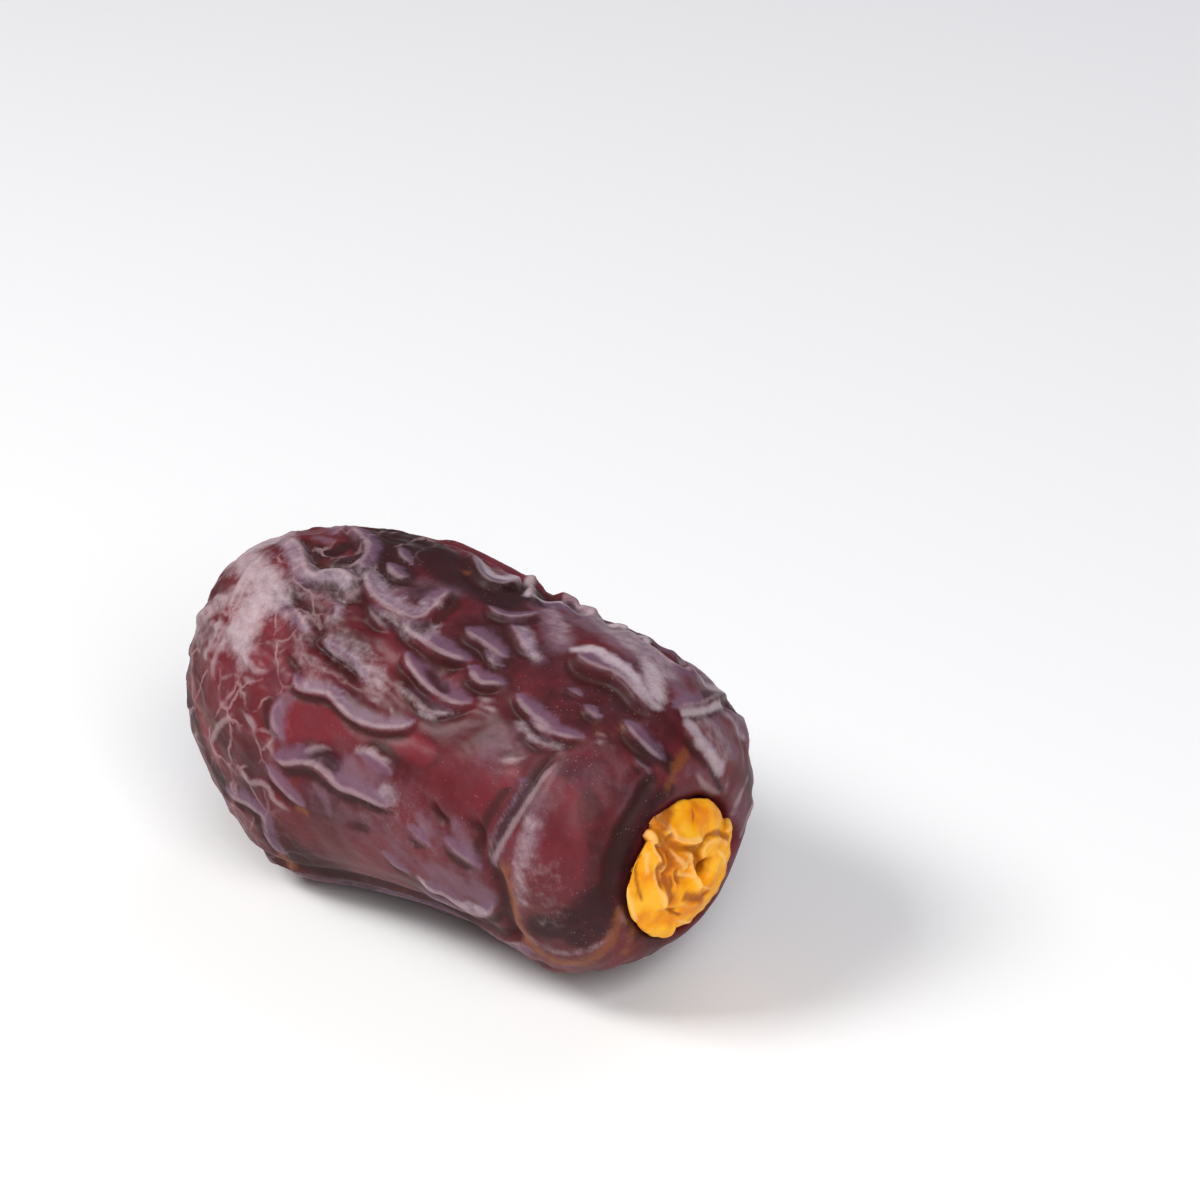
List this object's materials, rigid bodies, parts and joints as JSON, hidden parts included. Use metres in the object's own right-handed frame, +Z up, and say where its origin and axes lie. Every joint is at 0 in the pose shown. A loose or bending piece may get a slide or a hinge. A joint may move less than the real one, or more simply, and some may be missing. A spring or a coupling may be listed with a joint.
{
  "type": "medjool date",
  "caption": "Wrinkled medjool date lying on its side, with the woody cap still in the hollow at its stem end.",
  "frame": {"origin": "middle of the small flat spot under the fruit, on the surface that it rests on", "axes": "+Z up, +X along the fruit from its tip towards its cap, -Y the front that the picture shows"},
  "size_m": [0.0539, 0.0325, 0.0293],
  "materials": {
    "date_skin": "wrinkled fruit skin, plum red with a dusty mauve bloom on its ridges",
    "date_cap": "dry woody calyx, golden yellow with brown cracks"
  },
  "bodies": {
    "root": {"fruit": "date_skin", "cap": "date_cap"}
  },
  "joints": []
}
